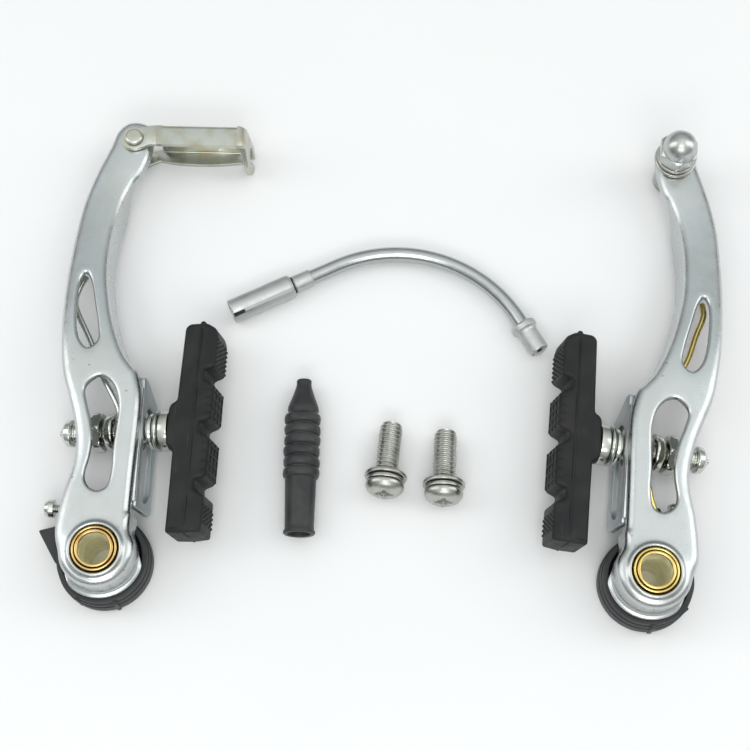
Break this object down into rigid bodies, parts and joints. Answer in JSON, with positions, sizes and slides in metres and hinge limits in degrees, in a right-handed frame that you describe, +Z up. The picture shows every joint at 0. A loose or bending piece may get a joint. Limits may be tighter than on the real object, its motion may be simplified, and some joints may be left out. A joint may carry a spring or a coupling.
{
  "type": "rim brake caliper",
  "caption": "Linear-pull rim brake kit laid flat: pressed steel arms with pads on adjustable studs, link bracket, guide pipe, rubber boot and fixing bolts.",
  "frame": {"origin": "on the surface the kit lies on, below the centre of its box", "axes": "+X from the left arm to the right arm, +Y from the pivots towards the cable ends, +Z up, the arms' outer faces"},
  "size_m": [0.1779, 0.1388, 0.0251],
  "materials": {
    "chromed_steel": "bright chrome on pressed steel, satin on the flats",
    "zinc_plate": "blue-grey zinc with worn bright marks",
    "yellow_zinc": "yellow passivated zinc",
    "bright_steel": "bright zinc",
    "nickel_plate": "dull nickel with faint stains",
    "aluminium": "bright drawn",
    "black_plastic": "moulded, matte",
    "pad_rubber": "moulded, with scuffs",
    "boot_rubber": "smooth"
  },
  "bodies": {
    "left_pivot": {"left_pivot_bushing": "yellow_zinc", "left_spring_housing": "black_plastic"},
    "left_arm": {"left_arm_shell": "chromed_steel", "left_pivot_tube": "yellow_zinc", "left_slot_plate": "zinc_plate", "left_return_spring": "bright_steel", "left_link_rivet": "nickel_plate"},
    "left_pad_slide": {"left_outer_collar_washer": "bright_steel", "left_outer_cup_washer": "bright_steel", "left_inner_cup_washer": "bright_steel"},
    "left_pad_turn": {"left_brake_pad": "pad_rubber", "left_pad_stud": "bright_steel", "left_outer_dome_washer": "bright_steel", "left_inner_dome_washer": "bright_steel", "left_inner_flat_washer": "bright_steel", "left_pad_nut": "bright_steel"},
    "left_screw": {"left_tension_screw": "bright_steel"},
    "right_pivot": {"right_pivot_bushing": "yellow_zinc", "right_spring_housing": "black_plastic"},
    "right_arm": {"right_arm_shell": "chromed_steel", "right_pivot_tube": "yellow_zinc", "right_slot_plate": "zinc_plate", "right_return_spring": "yellow_zinc", "right_anchor_bolt": "bright_steel", "right_anchor_flat_washer": "bright_steel", "right_anchor_pinch_washer": "bright_steel"},
    "right_pad_slide": {"right_outer_collar_washer": "bright_steel", "right_outer_cup_washer": "bright_steel", "right_inner_cup_washer": "bright_steel"},
    "right_pad_turn": {"right_brake_pad": "pad_rubber", "right_pad_stud": "bright_steel", "right_outer_dome_washer": "bright_steel", "right_inner_dome_washer": "bright_steel", "right_inner_flat_washer": "bright_steel", "right_pad_nut": "bright_steel"},
    "right_screw": {"right_tension_screw": "bright_steel"},
    "left_link": {"left_link_bracket": "nickel_plate"},
    "right_nut": {"right_cap_nut": "bright_steel"},
    "guide_pipe_set": {"guide_pipe": "aluminium", "guide_pipe_ferrule": "aluminium", "guide_pipe_crimp_sleeve": "aluminium", "guide_pipe_end_collar": "aluminium"},
    "boot": {"cable_boot": "boot_rubber"},
    "left_bolt": {"left_fixing_bolt": "bright_steel", "left_fixing_bolt_flat_washer": "bright_steel", "left_fixing_bolt_spring_washer": "bright_steel"},
    "right_bolt": {"right_fixing_bolt": "bright_steel", "right_fixing_bolt_flat_washer": "bright_steel", "right_fixing_bolt_spring_washer": "bright_steel"}
  },
  "joints": [
    {"name": "left_arm_swing", "type": "hinge", "parent": "left_pivot", "child": "left_arm", "pos_m": [-0.07243, -0.05203, 0], "axis": [0, 0, -1], "range_deg": [-12, 8], "stiffness_Nm_per_rad": 0.1, "deforming": ["left_return_spring"]},
    {"name": "left_pad_height", "type": "slide", "parent": "left_arm", "child": "left_pad_slide", "axis": [0.0227, 0.9997, 0], "range_m": [-0.005, 0.0024]},
    {"name": "left_pad_angle", "type": "hinge", "parent": "left_pad_slide", "child": "left_pad_turn", "pos_m": [-0.06204, -0.01925, 0.0095], "axis": [0.986, -0.0224, 0.1651], "range_deg": [-8, 8]},
    {"name": "left_tension_screw_turn", "type": "hinge", "parent": "left_pivot", "child": "left_screw", "pos_m": [-0.08613, -0.03851, 0.005], "axis": [-0.9997, 0.0227, 0], "continuous": true},
    {"name": "right_pivot_lift", "type": "slide", "parent": "left_pivot", "child": "right_pivot", "axis": [0, 0, 1], "range_m": [0, 0.15]},
    {"name": "right_arm_swing", "type": "hinge", "parent": "right_pivot", "child": "right_arm", "pos_m": [0.06457, -0.05742, 0], "axis": [0, 0, 1], "range_deg": [-10, 1], "stiffness_Nm_per_rad": 0.1, "deforming": ["right_return_spring"]},
    {"name": "right_pad_height", "type": "slide", "parent": "right_arm", "child": "right_pad_slide", "axis": [0.1175, 0.9931, 0], "range_m": [-0.005, 0.0024]},
    {"name": "right_pad_angle", "type": "hinge", "parent": "right_pad_slide", "child": "right_pad_turn", "pos_m": [0.05886, -0.02352, 0.0095], "axis": [-0.9794, 0.1159, 0.1651], "range_deg": [-8, 8]},
    {"name": "right_tension_screw_turn", "type": "hinge", "parent": "right_pivot", "child": "right_screw", "pos_m": [0.07222, -0.03977, 0.005], "axis": [0.9188, 0.3947, 0], "continuous": true},
    {"name": "left_link_swing", "type": "hinge", "parent": "left_arm", "child": "left_link", "pos_m": [-0.06952, 0.06294, 0], "axis": [0, 0, 1], "range_deg": [-25, 80]},
    {"name": "right_cap_nut_turn", "type": "hinge", "parent": "right_arm", "child": "right_nut", "pos_m": [0.07779, 0.05681, 0], "axis": [0, 0, 1], "range_deg": [0, 540]},
    {"name": "guide_pipe_set_lift", "type": "slide", "parent": "left_pivot", "child": "guide_pipe_set", "axis": [0, 0, 1], "range_m": [0, 0.15]},
    {"name": "boot_lift", "type": "slide", "parent": "left_pivot", "child": "boot", "axis": [0, 0, 1], "range_m": [0, 0.15]},
    {"name": "left_bolt_lift", "type": "slide", "parent": "left_pivot", "child": "left_bolt", "axis": [0, 0, 1], "range_m": [0, 0.15]},
    {"name": "right_bolt_lift", "type": "slide", "parent": "left_pivot", "child": "right_bolt", "axis": [0, 0, 1], "range_m": [0, 0.15]}
  ]
}
